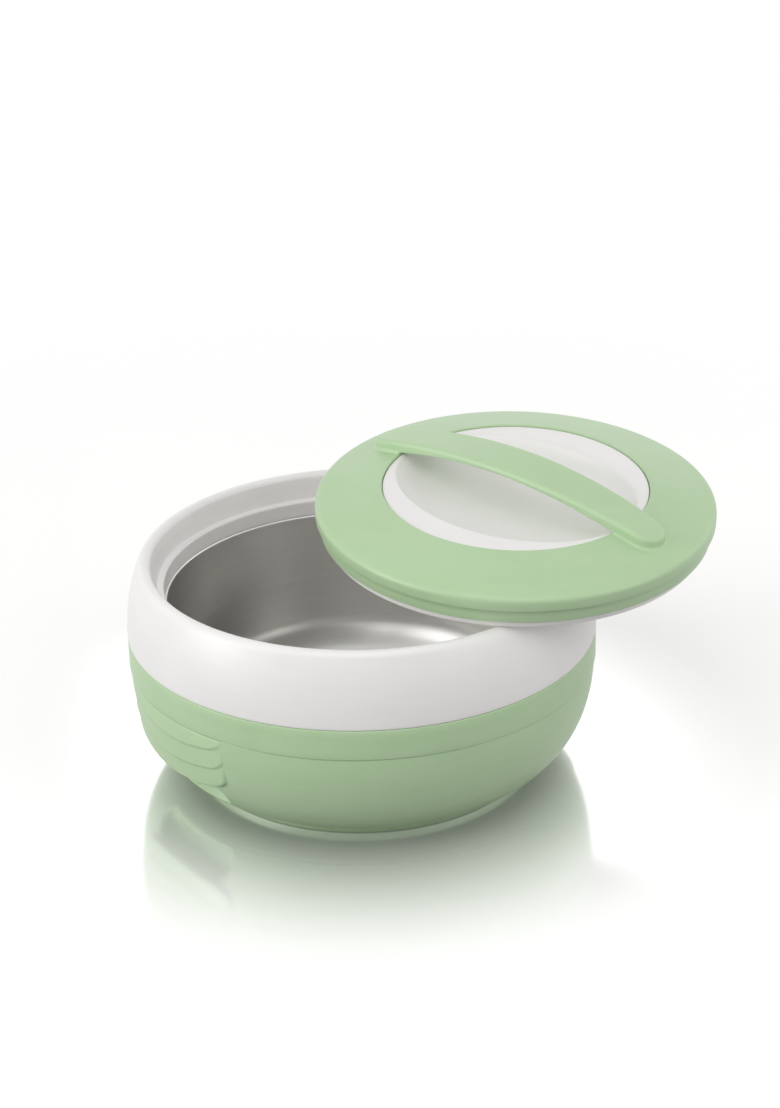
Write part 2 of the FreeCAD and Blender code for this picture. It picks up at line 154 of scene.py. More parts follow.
class Graph:
    """The node tree of one new material or of the world."""

    def __init__(self, tree: bpy.types.NodeTree) -> None:
        """Empties the tree."""
        self.tree = tree
        tree.nodes.clear()

    def node(self, kind: str, inputs: dict[Any, Any], **settings: Any) -> bpy.types.Node:
        """Adds any shader node.

        Args:
            kind: the node's type name, less ShaderNode.
            inputs: sockets by name or number, with a value or a link for each.
            settings: attributes that are set before its sockets.

        Returns:
            The new node.
        """
        node = self.tree.nodes.new("ShaderNode" + kind)
        for name, value in settings.items():
            setattr(node, name, value)
        for key, value in inputs.items():
            if isinstance(value, Field):
                value = value.socket
            if isinstance(value, bpy.types.NodeSocket):
                self.tree.links.new(value, node.inputs[key])
            else:
                node.inputs[key].default_value = value
        return node

    def place(self) -> bpy.types.NodeSocket:
        """Object coordinates, which are the frame's own metres."""
        return self.node("TexCoord", {}).outputs["Object"]

    def noise(self, scale: float, detail: float = 2.0, vector: Any = None) -> Field:
        """Noise between 0 and 1.

        Args:
            scale: cells per metre.
            detail: octaves.
            vector: coordinates, or None for the place on the object.

        Returns:
            The noise value.
        """
        found = self.node("TexNoise", {
            "Vector": vector or self.place(), "Scale": scale, "Detail": detail, "Roughness": 0.55})
        return Field(self, found.outputs[0])

    def parts(self) -> tuple[Field, Field, Field]:
        """The three object coordinates, each as a value."""
        split = self.node("SeparateXYZ", {0: self.place()})
        return tuple(Field(self, output) for output in split.outputs)

    def blend(self, amount: Any, first: Any, second: Any) -> bpy.types.NodeSocket:
        """Mixes two colours.

        Args:
            amount: 0 for the first and 1 for the second.
            first: a colour.
            second: another colour.

        Returns:
            The mixed colour's socket.
        """
        mix = self.node("Mix", {0: amount, 6: first, 7: second}, data_type="RGBA")
        return mix.outputs[2]

    def relief(self, height: Any, depth: float, under: Any = None) -> bpy.types.NodeSocket:
        """Bump from a height between 0 and 1.

        Args:
            height: the height.
            depth: metres that a height of 1 stands for.
            under: normal of a coarser bump below this one.

        Returns:
            The bumped normal.
        """
        inputs = {"Height": height, "Distance": depth, "Strength": 1.0}
        if under is not None:
            inputs["Normal"] = under
        return self.node("Bump", inputs).outputs[0]

    def surface(self, shader: bpy.types.NodeSocket) -> None:
        """Ends a material's tree with the shader."""
        self.node("OutputMaterial", {"Surface": shader})


def new_material(name: str) -> tuple[bpy.types.Material, Graph]:
    """Starts a node material.

    Args:
        name: the material's name.

    Returns:
        The material and its empty graph.
    """
    material = bpy.data.materials.new(name)
    material.use_nodes = True
    return material, Graph(material.node_tree)


def colour(red: float, green: float, blue: float) -> Colour:
    """An opaque linear colour."""
    return red, green, blue, 1.0


WHITE = colour(1.0, 1.0, 1.0)


# Finishes

@dataclass(frozen=True)
class MouldedPlastic:
    """Injection-moulded polypropylene with a fine spark-eroded grain; scales are cells a metre."""

    name: str
    pale: Colour
    deep: Colour
    roughness: float
    coat: float
    grain_depth: float
    cloud_scale: float = 22.0
    cloud_gloss: float = 0.06
    flow_scale: float = 30.0
    flow_squash: float = 8.0
    grain_scale: float = 2600.0
    grain_gloss: float = 0.10
    speck_scale: float = 900.0
    speck_share: float = 0.18
    wave_scale: float = 30.0
    wave_depth: float = 0.00012

    def make(self) -> bpy.types.Material:
        """Pigment clouds and flow marks, grain in the gloss, slow waves in the surface.

        Returns:
            The material.
        """
        material, graph = new_material(self.name)
        x, y, z = graph.parts()
        clouds = graph.noise(self.cloud_scale, 3.0)
        stretched = graph.node("CombineXYZ", {
            0: x * self.flow_scale, 1: y * self.flow_scale,
            2: z * (self.flow_scale * self.flow_squash)})
        flow = graph.noise(1.0, 3.0, stretched.outputs[0])
        grain = graph.noise(self.grain_scale, 2.0)
        speck = graph.noise(self.speck_scale, 1.0).ramp(0.66, 0.78)
        tint = clouds * 0.6 + flow * 0.4
        tone = graph.blend(tint.ramp(0.3, 0.7), self.deep, self.pale)
        tone = graph.blend(speck * self.speck_share, tone, self.deep)
        level = self.roughness - (self.grain_gloss + self.cloud_gloss) / 2.0
        roughness = grain * self.grain_gloss + clouds * self.cloud_gloss + level
        waves = graph.relief(graph.noise(self.wave_scale, 1.0), self.wave_depth)
        skin = graph.relief(grain, self.grain_depth, waves)
        shader = graph.node("BsdfPrincipled", {
            "Base Color": tone, "Roughness": roughness, "Normal": skin,
            "IOR": 1.49, "Coat Weight": self.coat, "Coat Roughness": 0.18})
        graph.surface(shader.outputs[0])
        return material


@dataclass(frozen=True)
class SpunSteel:
    """Stainless steel, spun and brushed in circles about the bowl's axis."""

    name: str = "spun_stainless_steel"
    bright: Colour = colour(0.76, 0.75, 0.73)
    dull: Colour = colour(0.63, 0.62, 0.60)
    roughness: float = 0.19
    fine_scale: float = 2400.0
    fine_gloss: float = 0.16
    wide_scale: float = 260.0
    smudge_scale: float = 28.0
    smudge_gloss: float = 0.10
    mark_depth: float = 0.00003

    def make(self) -> bpy.types.Material:
        """Rings in tone, gloss and relief: noise read on radius and height alone.

        Returns:
            The material.
        """
        material, graph = new_material(self.name)
        x, y, z = graph.parts()
        radius = (x * x + y * y) ** 0.5
        ring = graph.node("CombineXYZ", {0: radius, 1: z, 2: 0.0}).outputs[0]
        fine = graph.noise(self.fine_scale, 2.0, ring)
        wide = graph.noise(self.wide_scale, 2.0, ring)
        smudge = graph.noise(self.smudge_scale, 4.0)
        tone = graph.blend(fine * 0.6 + wide * 0.4, self.dull, self.bright)
        tone = graph.blend(smudge.ramp(0.5, 0.75) * 0.35, tone, self.dull)
        roughness = fine * self.fine_gloss + smudge * self.smudge_gloss + self.roughness
        marks = graph.relief(fine * 0.5 + wide * 0.5, self.mark_depth)
        shader = graph.node("BsdfPrincipled", {
            "Base Color": tone, "Metallic": 1.0, "Roughness": roughness, "Normal": marks})
        graph.surface(shader.outputs[0])
        return material


@dataclass(frozen=True)
class RigidFoam:
    """Closed-cell foam between the shells."""

    name: str = "rigid_foam"
    # hollow: painted shade, the darker colour laid on each cell's sunken middle
    hollow: Colour = colour(0.78, 0.68, 0.42)
    crest: Colour = colour(0.90, 0.83, 0.60)
    cell_scale: float = 900.0
    cell_depth: float = 0.0002

    def make(self) -> bpy.types.Material:
        """Small rounded cells in relief, with painted shade that darkens each cell's sunken middle.

        Returns:
            The material.
        """
        material, graph = new_material(self.name)
        cells = graph.node("TexVoronoi", {
            "Vector": graph.place(), "Scale": self.cell_scale})
        cell = Field(graph, cells.outputs["Distance"])
        shader = graph.node("BsdfPrincipled", {
            # painted shade: the cell's sunken middle is blended towards the darker hollow colour
            "Base Color": graph.blend(cell.ramp(0.1, 0.7), self.hollow, self.crest),
            "Roughness": 0.85, "Normal": graph.relief(cell, self.cell_depth)})
        graph.surface(shader.outputs[0])
        return material


@dataclass(frozen=True)
class PaleFloor:
    """Plain white studio floor, polished where the casserole stands; lengths are in metres."""

    name: str = "pale_floor"
    light_paint: Colour = colour(0.82, 0.82, 0.81)
    dark_paint: Colour = colour(0.80, 0.80, 0.79)
    near: float = 0.09
    far: float = 0.215
    open_floor: float = 0.75
    polish: float = 0.78
    sheen: float = 0.03
    blur: float = 0.12
    lift: float = 0.30
    bounce: Colour = colour(0.24, 0.24, 0.24)

    def make(self) -> bpy.types.Material:
        """White paint under a clear sheet whose reflection fades away from the foot ring.

        Camera and mirror rays see the paint lifted to white, and plain white further out. Light
        that bounces off the floor on to the casserole comes from a darker grey.

        Returns:
            The material.
        """
        material, graph = new_material(self.name)
        paint = graph.node("BsdfDiffuse", {
            "Color": graph.blend(graph.noise(3.0, 2.0), self.dark_paint, self.light_paint)})
        glow = graph.node("Emission", {"Color": WHITE, "Strength": self.lift})
        lifted = graph.node("AddShader", {0: paint.outputs[0], 1: glow.outputs[0]})
        gloss = graph.node("BsdfAnisotropic", {"Color": WHITE, "Roughness": self.blur})
        plain = graph.node("Emission", {"Color": WHITE})
        grey = graph.node("BsdfDiffuse", {"Color": self.bounce})
        rays = graph.node("LightPath", {})
        x, y, _ = graph.parts()
        radius = (x * x + y * y) ** 0.5
        share = (1.0 - radius.ramp(self.near, self.far)) * self.polish + self.sheen
        floor = lifted.outputs[0]
        for amount, other in ((share, gloss), (radius.ramp(self.far, self.open_floor), plain),
                              (rays.outputs["Is Diffuse Ray"], grey)):
            floor = graph.node("MixShader", {
                0: amount, 1: floor, 2: other.outputs[0]}).outputs[0]
        graph.surface(floor)
        return material


# Profiles and grids

def inset(points: np.ndarray, distance: float) -> np.ndarray:
    """Moves an open control polygon to the right of its direction of travel.

    Each corner moves along the sum of its two edges' normals, so that both edges move by distance.

    Args:
        points: the polygon's corners, as rows of radius and height.
        distance: how far its edges move.

    Returns:
        The moved corners.
    """
    edges = np.diff(points, axis=0)
    normals = np.stack([edges[:, 1], -edges[:, 0]], 1) / np.linalg.norm(edges, axis=1)[:, None]
    total = np.vstack([normals[:1], normals]) + np.vstack([normals, normals[-1:]])
    return points + total * (2.0 * distance / (total ** 2).sum(1))[:, None]


def trace(points: Any, pattern: str, step: float = 1.2, ease: float = 0.05) -> np.ndarray:
    """Points along a control polygon, where L is a line and Q and C are Bezier curves.

    A curve of degree n is the sum of its poles times comb(n, i) t^i (1 - t)^(n - i). Each stretch
    stops a little short of its ends, which leaves a hair-fine bevel at every corner.

    Args:
        points: the control polygon.
        pattern: one letter for each stretch.
        step: distance between points.
        ease: how far from its ends each stretch stops.

    Returns:
        Rows of radius and height.
    """
    points = np.asarray(points, float)
    found, start = [], 0
    for kind in pattern:
        degree = {"L": 1, "Q": 2, "C": 3}[kind]
        poles = points[start:start + degree + 1]
        length = np.linalg.norm(np.diff(poles, axis=0), axis=1).sum()
        count = max(2 if kind == "L" else 9, int(length / step) + 2)
        margin = min(ease / length, 0.25)
        t = np.linspace(margin, 1.0 - margin, count)[:, None]
        found.append(sum(math.comb(degree, i) * t ** i * (1.0 - t) ** (degree - i) * poles[i]
                         for i in range(degree + 1)))
        start += degree
    return np.vstack(found)


def lines(*points: tuple[float, float]) -> np.ndarray:
    """Points along straight lines through the given ones."""
    return trace(points, "L" * (len(points) - 1), step=4.0)


def even_angles(count: int = 240) -> np.ndarray:
    """Azimuths in radians, evenly spread over one turn."""
    return np.arange(count) * (2.0 * math.pi / count)


def quarter(count: int) -> np.ndarray:
    """Angles in radians over a quarter turn, without its start."""
    return np.linspace(0.0, math.pi / 2.0, count)[1:]


def smooth(value: np.ndarray) -> np.ndarray:
    """Smooth rise from 0 to 1: 3 t^2 - 2 t^3 with t held between 0 and 1."""
    t = np.clip(value, 0.0, 1.0)
    return t * t * (3.0 - 2.0 * t)


def rounded(value: np.ndarray) -> np.ndarray:
    """Quarter circle from 0 to 1: the root of 1 - (1 - t)^2 with t held between 0 and 1."""
    t = np.clip(value, 0.0, 1.0)
    return np.sqrt(1.0 - (1.0 - t) ** 2)


def turn_grid(profile: np.ndarray, angles: np.ndarray) -> np.ndarray:
    """Turns a profile about the vertical axis.

    A point is (r cos a, r sin a, z) for the profile's r and z and each azimuth a.

    Args:
        profile: rows of radius and height.
        angles: azimuths.

    Returns:
        An array of rows, azimuths and three coordinates.
    """
    radius = profile[:, :1]
    height = np.broadcast_to(profile[:, 1:], (len(profile), len(angles)))
    return np.stack([radius * np.cos(angles), radius * np.sin(angles), height], -1)


def at_height(spots: np.ndarray, height: Any) -> np.ndarray:
    """Rows of x, y and z from rows of x and y, with one height or a height for each."""
    return np.column_stack([spots, np.broadcast_to(height, len(spots))])


@dataclass
class Skin:
    """A closed surface: a grid whose columns go round, and its poles where it has them."""

    grid: np.ndarray
    ends: Ends = Ends.ROUND
    poles: tuple[Point, ...] = ()

    def faces(self) -> list[list[int]]:
        """Quads between neighbouring rows and columns, and triangles round the poles.

        Returns:
            Vertex numbers of every face.
        """
        rows, columns = self.grid.shape[:2]
        number = np.arange(rows * columns).reshape(rows, columns)
        if self.ends is Ends.ROUND:
            number = np.vstack([number, number[:1]])
        after = np.roll(number, -1, axis=1)
        quads = np.stack([number[:-1], after[:-1], after[1:], number[1:]], -1)
        found = quads.reshape(-1, 4).tolist()
        if self.ends is Ends.POLES:
            first, last = np.full(columns, rows * columns), np.full(columns, rows * columns + 1)
            found += np.stack([after[0], number[0], first], -1).tolist()
            found += np.stack([number[-1], after[-1], last], -1).tolist()
        return found

    def points(self) -> np.ndarray:
        """Every vertex, the poles last."""
        return np.vstack([self.grid.reshape(-1, 3), np.reshape(self.poles, (-1, 3))])


@dataclass
class Workshop:
    """Makes finished objects from skins."""

    finishes: dict[Finish, bpy.types.Material]

    def piece(self, name: str, skin: Skin, finish: Finish, body: Body, node: str,
              place: LidPlace | None = None) -> bpy.types.Object:
        """Makes one object that stands for a node and rides on its body.

        The faces are turned outwards where the signed volume, the sum of a . (b x c) / 6 over the
        triangles, is negative.

        Args:
            name: the object's name.
            skin: its surface in millimetres.
            finish: its material.
            body: the body that it rides on.
            node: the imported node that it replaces.
            place: where the lid lies, for the lid's pieces.

        Returns:
            The object.
        """
        points = skin.points()
        if place is not None:
            points = place.lay(points)
        mesh = bpy.data.meshes.new(name)
        mesh.from_pydata((points * MM).tolist(), [], skin.faces())
        if skin.ends is Ends.FOLDED:
            self.join_doubles(mesh)
        self.face_outwards(mesh)
        mesh.polygons.foreach_set("use_smooth", np.ones(len(mesh.polygons), bool))
        mesh.materials.append(self.finishes[finish])
        mesh.update()
        made = bpy.data.objects.new(name, mesh)
        bpy.context.scene.collection.objects.link(made)
        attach(made, body.value)
        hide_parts(node)
        log.info("%s: %d faces, stands for %s", name, len(mesh.polygons), node)
        return made

    @staticmethod
    def join_doubles(mesh: bpy.types.Mesh) -> None:
        """Merges vertices that lie together and drops faces that this leaves without area.

        Args:
            mesh: the mesh to close.
        """
        work = bmesh.new()
        work.from_mesh(mesh)
        bmesh.ops.remove_doubles(work, verts=work.verts, dist=MERGE)
        bmesh.ops.dissolve_degenerate(work, edges=work.edges, dist=SLIVER)
        work.to_mesh(mesh)
        work.free()

    @staticmethod
    def face_outwards(mesh: bpy.types.Mesh) -> None:
        """Flips the mesh if its signed volume is negative.

        Args:
            mesh: a closed mesh.
        """
        mesh.calc_loop_triangles()
        corners = np.zeros(len(mesh.loop_triangles) * 3, np.int32)
        mesh.loop_triangles.foreach_get("vertices", corners)
        places = np.zeros(len(mesh.vertices) * 3, np.float32)
        mesh.vertices.foreach_get("co", places)
        a, b, c = places.reshape(-1, 3).astype(float)[corners.reshape(-1, 3)].transpose(1, 0, 2)
        if np.einsum("ij,ij->", a, np.cross(b, c)) < 0.0:
            mesh.flip_normals()

    def dress_node(self, node: bpy.types.Object, finish: Finish) -> None:
        """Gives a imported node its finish.

        Args:
            node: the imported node's object.
            finish: its material.
        """
        node.data.materials.clear()
        node.data.materials.append(self.finishes[finish])
        log.info("%s: kept, dressed as %s", node.name, finish.value)


@dataclass(frozen=True)
class LidPlace:
    """How the taken-off lid lies across the rim."""

    centre: Point = (78.3, 5.0, 137.45)
    tilt_front: float = 4.5
    tilt_right: float = 0.85
    handle_azimuth: float = 140.0

    def lay(self, points: np.ndarray) -> np.ndarray:
        """Tilts the front edge down, then the right edge, and moves the centre to its place.

        Args:
            points: rows of lid coordinates.

        Returns:
            Rows of frame coordinates.
        """
        a, b = math.radians(self.tilt_front), math.radians(self.tilt_right)
        front = np.array([[1, 0, 0], [0, math.cos(a), -math.sin(a)], [0, math.sin(a), math.cos(a)]])
        right = np.array([[math.cos(b), 0, math.sin(b)], [0, 1, 0], [-math.sin(b), 0, math.cos(b)]])
        return points @ (right @ front).T + np.array(self.centre)

    def swing(self, grid: np.ndarray) -> np.ndarray:
        """Turns lid coordinates from along X to along the handle.

        Args:
            grid: an array whose last axis is x, y and z.

        Returns:
            The turned array.
        """
        angle = math.radians(self.handle_azimuth)
        c, s = math.cos(angle), math.sin(angle)
        return grid @ np.array([[c, s, 0], [-s, c, 0], [0, 0, 1]])


# Base

@dataclass
class Grip:
    """One stepped grip with the finger hollow under it, as a change of the shell's radius."""

    azimuth: float
    half_angle: float = 20.0
    lower_edges: tuple[float, float, float] = (47.5, 36.5, 25.0)
    rise: float = 5.6
    start_out: float = 0.1
    swell: float = 2.0
    foot_draw: float = 1.4
    step: float = 0.9
    corner: float = 4.5
    hollow_radius: float = 8.0
    hollow_height: float = 19.5
    hollow_inset: float = 6.6
    hollow_half_angle: float = 13.0
    hollow_fade: float = 0.16
    hollow_blend: float = 1.4
    window: float = 40.0
    side_weight: float = 0.55
    soft_edge: float = 0.6
    soft_lowest: float = 1.5

    def depth_inside(self, across: np.ndarray, height: np.ndarray, lower: float,
                     half: float) -> np.ndarray:
        """Distance inside a terrace's outline: a sagging lower edge with round corners.

        The lower edge is a circle's arc through the middle and the ends. Near a corner the
        distance is c minus the length of (c - d1, c - d2) for the distances to the two edges.

        Args:
            across: sideways place, from the grip's middle.
            height: height.
            lower: height of the lower edge in the middle.
            half: half of the grip's width.

        Returns:
            The distance, negative outside.
        """
        arc = (half ** 2 + self.rise ** 2) / (2.0 * self.rise)
        drop = arc ** 2 - np.minimum(np.abs(across), half) ** 2
        edge = lower + arc - np.sqrt(np.maximum(drop, 0.0))
        up, side = height - edge, (half - np.abs(across)) * self.side_weight
        a, b = self.corner - up, self.corner - side
        return np.where((a > 0) & (b > 0), self.corner - np.hypot(a, b), np.minimum(up, side))

    def face(self, height: np.ndarray, belly: float, groove: float) -> np.ndarray:
        """Radius of the grip's face: a curve that swells and then draws in.

        Args:
            height: the height of each point.
            belly: the bowl's largest radius.
            groove: height of the groove above the grip.

        Returns:
            The radius at each height.
        """
        low = self.lower_edges[-1]
        side = trace([(belly + self.start_out, groove), (belly + self.swell, (groove + low) / 2.0),
                      (belly - self.foot_draw, low - 0.5)], "Q", 0.3)[::-1]
        return np.interp(height, side[:, 1], side[:, 0])

    def hollow(self, radius: np.ndarray, height: np.ndarray, turn: np.ndarray, belly: float,
               wall: float) -> np.ndarray:
        """Presses the finger hollow in: part of a ring with ball ends.

        Along a ray the hollow's far side lies at c cos d minus the root of R^2 - h^2 - (c sin d)^2,
        with d the azimuth beyond the hollow's end and h the height from its middle.

        Args:
            radius: the surface's radius.
            height: its height.
            turn: azimuth from the grip's middle.
            belly: the bowl's largest radius.
            wall: how far the surface lies behind the outer skin.

        Returns:
            The new radius.
        """
        centre = belly - self.foot_draw - 2.0 * self.step - self.hollow_inset
        size = self.hollow_radius + wall
        beyond = np.maximum(np.abs(turn) - math.radians(self.hollow_half_angle), 0.0)
        inside = size ** 2 - (height - self.hollow_height) ** 2 - (centre * np.sin(beyond)) ** 2
        far = centre * np.cos(beyond) - np.sqrt(np.maximum(inside, 0.0))
        depth = radius - far
        soft = 0.5 * (depth + np.sqrt(depth ** 2 + self.hollow_blend)) - 0.1
        fade = smooth(inside / (self.hollow_fade * size ** 2))
        return radius - fade * np.maximum(soft, 0.0)

    def shape(self, radius: np.ndarray, height: np.ndarray, angles: np.ndarray, belly: float,
              groove: float, wall: float) -> np.ndarray:
        """The shell's radius with this grip and its hollow.

        Args:
            radius: the plain bowl's radius.
            height: the height of each point.
            angles: the azimuth of each point.
            belly: the bowl's largest radius.
            groove: height of the groove above the grip.
            wall: how far the surface lies behind the outer skin.

        Returns:
            The new radius.
        """
        turn = (angles - math.radians(self.azimuth) + math.pi) % (2.0 * math.pi) - math.pi
        near = (np.abs(turn) < math.radians(self.window)) & (height < groove + 0.01)
        new = self.hollow(radius, height, turn, belly, wall)
        if wall == 0.0:
            half = (belly + 0.7) * math.sin(math.radians(self.half_angle))
            across = belly * np.sin(turn)
            for number in (2, 1, 0):
                inside = self.depth_inside(across, height, self.lower_edges[number], half)
                face = self.face(height, belly, groove) - number * self.step
                soft = self.soft_lowest if number == 2 else self.soft_edge
                new = new + np.maximum(face - new, 0.0) * rounded(inside / soft)
        return np.where(near, new, radius)


@dataclass
class OuterShell:
    """Green outer bowl: foot ring, round belly, groove, upper band and two grips."""

    foot_radius: float = 87.2
    foot_width: float = 3.4
    foot_height: float = 4.5
    belly: float = 118.4
    groove: float = 58.0
    band: float = 119.1
    seam: float = 74.0
    wall: float = 2.6
    hole: float = 7.0
    grip_azimuth: float = 215.0

    def angles(self) -> np.ndarray:
        """Azimuths that lie closer together at the grips.

        Returns:
            The azimuths in radians.
        """
        turns = []
        for start in (self.grip_azimuth, self.grip_azimuth + 180.0):
            turns.append(np.linspace(start - 24.0, start + 24.0, 150, endpoint=False))
            turns.append(np.linspace(start + 24.0, start + 156.0, 62, endpoint=False))
        return np.radians(np.concatenate(turns))

    def skin_poles(self) -> np.ndarray:
        """Control points of the bowl's round side.

        Returns:
            Rows of radius and height, upwards.
        """
        start = self.foot_radius + 1.6
        return np.array([(start, self.foot_height + 0.5), (start + 15.0, self.foot_height + 3.5),
                         (self.belly, self.groove * 0.46), (self.belly, self.groove - 0.35)])

    def build(self, shop: Workshop) -> None:
        """Turns the profile and adds the grips to its outer side and the hollows to both sides.

        Args:
            shop: makes the object.
        """
        inner = self.foot_radius - self.foot_width
        floor = self.foot_height + self.wall
        poles = self.skin_poles()
        back = inset(poles, -self.wall)[::-1]
        foot = lines((self.hole, self.foot_height), (inner - 0.5, self.foot_height), (inner, 0.5),
                     (inner + 0.5, 0.0), (self.foot_radius - 0.5, 0.0), (self.foot_radius, 0.5),
                     (self.foot_radius, self.foot_height), tuple(poles[0]))
        side = trace(poles, "C", 0.6)
        band = lines((self.belly, self.groove - 0.35), (self.belly - 0.55, self.groove + 0.1),
                     (self.belly - 0.5, self.groove + 0.45), (self.band - 0.15, self.groove + 0.55),
                     (self.band, self.groove + 0.8), (self.band, self.seam - 0.5),
                     (self.band - 0.5, self.seam), (self.band - self.wall, self.seam),
                     (self.band - self.wall, self.groove + 0.7), tuple(back[0]))
        inside = trace(back, "C", 3.0)
        close = lines(tuple(back[-1]), (back[-1][0] - 0.2, floor), (self.hole, floor),
                      (self.hole, self.foot_height))
        profile = np.vstack([foot, side, band, inside, close])
        angles = self.angles()
        radius = np.repeat(profile[:, :1], len(angles), axis=1)
        height = np.repeat(profile[:, 1:], len(angles), axis=1)
        first = len(foot)
        outer = slice(first, first + len(side))
        hidden = slice(first + len(side) + len(band), len(profile) - len(close))
        for azimuth in (self.grip_azimuth, self.grip_azimuth + 180.0):
            grip = Grip(azimuth)
            for rows, wall in ((outer, 0.0), (hidden, self.wall)):
                radius[rows] = grip.shape(radius[rows], height[rows], angles[None, :], self.belly,
                                          self.groove, wall)
        grid = np.stack([radius * np.cos(angles), radius * np.sin(angles), height], -1)
        shop.piece("shell_moulding", Skin(grid), Finish.GREEN, Body.BASE, "outer_shell")


@dataclass
class Collar:
    """White collar: outer wall, rolled rim, ledge, lip and the tongue that plugs into the shell."""

    band: float = 119.1
    seam: float = 74.0
    wall: float = 2.6
    gap: float = 0.2
    tongue_wall: float = 2.0
    tongue_depth: float = 6.0
    rim_radius: float = 109.4
    rim_half: float = 3.6
    rim_height: float = 111.5
    roll_drop: float = 3.4
    ledge_outer: float = 103.0
    ledge_width: float = 3.4
    ledge_height: float = 98.8
    lip_depth: float = 8.4
    lip_draft: float = 0.4

    def poles(self) -> np.ndarray:
        """Control points of the visible side, from the seam over the rim to the lip.

        Returns:
            Rows of radius and height.
        """
        outer, inner = self.rim_radius + self.rim_half, self.rim_radius - self.rim_half
        ledge_inner = self.ledge_outer - self.ledge_width
        return np.array([
            (self.band, self.seam + 0.5), (self.band + 0.2, self.seam + 14.0),
            (outer + 3.4, self.rim_height - 11.4), (outer, self.rim_height - self.roll_drop),
            (outer - 1.2, self.rim_height), (self.rim_radius, self.rim_height),
            (inner + 0.9, self.rim_height), (inner, self.rim_height - self.roll_drop + 1.2),
            (self.ledge_outer, self.ledge_height + 1.2),
            (self.ledge_outer - 0.3, self.ledge_height),
            (ledge_inner + 0.6, self.ledge_height - 0.1), (ledge_inner, self.ledge_height - 0.7),
            (ledge_inner - self.lip_draft, self.ledge_height - self.lip_depth)])

    def build(self, shop: Workshop) -> None:
        """Turns the closed profile of visible side, hidden side and tongue.

        Args:
            shop: makes the object.
        """
        skin = self.poles()
        ledge_inner = self.ledge_outer - self.ledge_width
        tongue_outer = self.band - self.wall - self.gap
        tongue_inner = tongue_outer - self.tongue_wall
        foot = self.seam - self.tongue_depth
        corners = [(self.ledge_outer, self.ledge_height), (ledge_inner, self.ledge_height - 0.1)]
        back = inset(np.vstack([skin[:8], corners, skin[-1:]]), -self.wall)
        back[0] = (tongue_inner, self.seam + 1.0)
        back[-1, 1] = skin[-1, 1]
        profile = np.vstack([
            trace(skin, "CQQLLLLL", 0.9), lines(tuple(skin[-1]), tuple(back[-1])),
            trace(back[::-1], "LLLQQC", 2.0),
            lines((tongue_inner, self.seam + 1.0), (tongue_inner, foot), (tongue_outer, foot),
                  (tongue_outer, self.seam + 0.1), (self.band - 0.5, self.seam + 0.1),
                  (self.band, self.seam + 0.5))])
        grid = turn_grid(profile, even_angles(300))
        shop.piece("collar_moulding", Skin(grid), Finish.WHITE, Body.BASE, "collar")


@dataclass
class SteelBowl:
    """Spun steel bowl: flat floor, round corner, drafted wall, bead and flange."""

    lip_radius: float = 99.2
    lip_height: float = 90.4
    floor: float = 14.0
    corner: float = 20.0
    draft: float = 5.0
    bead: float = 0.9
    flange: float = 4.0
    metal: float = 0.7

    def build(self, shop: Workshop) -> None:
        """Turns the inner side, the bead, the flange and the outer side, with poles on the axis.

        Args:
            shop: makes the object.
        """
        mouth = self.lip_radius - self.bead
        low = mouth - self.draft
        top = self.floor + self.corner
        bend = self.corner * 0.45
        skin = np.array([(mouth, self.lip_height - self.bead - 0.5), (low, top),
                         (low - self.draft / 10.0, top - self.corner + bend),
                         (low - self.corner + bend, self.floor), (low - self.corner, self.floor)])
        back = inset(skin, -self.metal)
        under = self.lip_height - 0.1
        inner = np.vstack([[(0.0, self.floor)], skin[::-1]])
        outer = np.vstack([[(back[0, 0] + 0.4, under - self.metal)], back,
                           [(0.0, self.floor - self.metal)]])
        profile = np.vstack([
            trace(inner, "LCL", 1.0),
            lines((mouth, self.lip_height - self.bead - 0.5), (mouth + 0.1, under - 0.5),
                  (self.lip_radius - 0.2, under), (self.lip_radius + self.flange, under),
                  (self.lip_radius + self.flange, under - self.metal), tuple(outer[0])),
            trace(outer, "LLCL", 2.0)])
        grid = turn_grid(profile, even_angles(240))
        ends = ((0.0, 0.0, self.floor), (0.0, 0.0, self.floor - self.metal))
        shop.piece("steel_bowl", Skin(grid, Ends.POLES, ends), Finish.STEEL, Body.BASE,
                   "inner_bowl")


@dataclass
class FillPlug:
    """Plug with a flat head that closes a foam filling hole, its head facing down."""

    seat: float
    stem: float
    hole: float = 7.0
    head_radius: float = 10.0
    head: float = 1.2
    gap: float = 0.2

    def skin(self) -> Skin:
        """Head with a soft lower edge, and a stem that fills the hole.

        Returns:
            The plug's closed surface.
        """
        low, top, radius = self.seat - self.head, self.seat + self.stem, self.hole - self.gap
        profile = np.vstack([
            trace([(0.5, low), (self.head_radius - 0.5, low), (self.head_radius - 0.1, low),
                   (self.head_radius, low + 0.5)], "LQ", 0.8),
            lines((self.head_radius, low + 0.5), (self.head_radius, self.seat),
                  (radius, self.seat), (radius, top), (0.5, top))])
        return Skin(turn_grid(profile, even_angles(72)), Ends.POLES,
                    ((0.0, 0.0, low), (0.0, 0.0, top)))


# Lid

